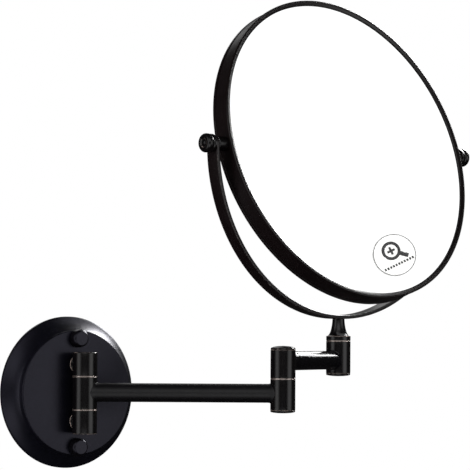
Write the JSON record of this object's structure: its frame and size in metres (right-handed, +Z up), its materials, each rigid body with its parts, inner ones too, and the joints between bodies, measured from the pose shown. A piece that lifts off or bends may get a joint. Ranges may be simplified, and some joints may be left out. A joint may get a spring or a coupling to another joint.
{
  "type": "extendable shaving mirror",
  "caption": "Round double-sided magnifying mirror in a half-ring yoke, on a two-section swing arm hinged to a round wall plate.",
  "frame": {"origin": "centre of the wall plate's back face", "axes": "+Z up, +X to the right seen from the room, -Y out of the wall"},
  "size_m": [0.3171, 0.1213, 0.3019],
  "materials": {
    "dark_bronze": "satin oil-rubbed bronze",
    "plate_bronze": "satin oil-rubbed bronze",
    "rubbed_bronze": "rubbed copper-grey metal",
    "steel": "zinc plated",
    "nylon": "black nylon",
    "mirror_glass": "silvered glass",
    "foam": "closed-cell foam",
    "label": "printed peel-off label"
  },
  "bodies": {
    "wall_mount": {"wall_plate": "plate_bronze", "wall_bracket": "steel", "upper_stud": "steel", "lower_stud": "steel", "upper_cap_nut": "dark_bronze", "lower_cap_nut": "dark_bronze", "upper_knuckle": "dark_bronze", "lower_knuckle": "dark_bronze", "upper_knuckle_screw": "steel", "lower_knuckle_screw": "steel", "hinge_pin": "steel", "upper_hinge_washer": "rubbed_bronze", "lower_hinge_washer": "rubbed_bronze"},
    "long_arm": {"hinge_knuckle": "dark_bronze", "long_arm_tube": "dark_bronze", "elbow_lower_knuckle": "dark_bronze", "elbow_bottom_cap": "dark_bronze", "elbow_bolt": "steel", "elbow_nut": "steel", "elbow_washer": "rubbed_bronze"},
    "short_arm": {"elbow_upper_knuckle": "dark_bronze", "elbow_spring_washer": "steel", "elbow_top_cap": "dark_bronze", "short_arm_tube": "dark_bronze", "front_knuckle": "dark_bronze", "front_bottom_cap": "dark_bronze", "swivel_washer": "rubbed_bronze"},
    "mirror_stand": {"mirror_post": "dark_bronze", "swivel_bolt": "steel", "swivel_spring_washer": "steel", "yoke": "dark_bronze", "post_screw": "steel"},
    "mirror_head": {"mirror_rim": "dark_bronze", "front_bezel": "dark_bronze", "rear_bezel": "dark_bronze", "magnifying_glass": "mirror_glass", "plain_glass": "mirror_glass", "foam_pad": "foam", "magnification_label": "label", "left_pivot_boss": "dark_bronze", "right_pivot_boss": "dark_bronze", "left_pivot_washer": "nylon", "right_pivot_washer": "nylon"},
    "left_thumb_knob": {"left_knob": "dark_bronze"},
    "right_thumb_knob": {"right_knob": "dark_bronze"}
  },
  "joints": [
    {"name": "wall_hinge", "type": "hinge", "parent": "wall_mount", "child": "long_arm", "pos_m": [0, -0.0233, 0], "axis": [0, 0, 1], "range_deg": [-138, 40]},
    {"name": "elbow", "type": "hinge", "parent": "long_arm", "child": "short_arm", "pos_m": [0.09448, -0.10499, 0.0005], "axis": [0, 0, 1], "continuous": true},
    {"name": "mirror_swivel", "type": "hinge", "parent": "short_arm", "child": "mirror_stand", "pos_m": [0.15414, -0.08155, 0.0005], "axis": [0, 0, 1], "continuous": true},
    {"name": "mirror_tilt", "type": "hinge", "parent": "mirror_stand", "child": "mirror_head", "pos_m": [0.15414, -0.08155, 0.1555], "axis": [0.9917, 0.1288, 0], "continuous": true},
    {"name": "left_knob_turn", "type": "hinge", "parent": "mirror_head", "child": "left_thumb_knob", "pos_m": [0.15414, -0.08155, 0.1555], "axis": [0.9917, 0.1288, 0], "range_deg": [0, 360]},
    {"name": "right_knob_turn", "type": "hinge", "parent": "mirror_head", "child": "right_thumb_knob", "pos_m": [0.15414, -0.08155, 0.1555], "axis": [-0.9917, -0.1288, 0], "range_deg": [0, 360]}
  ]
}
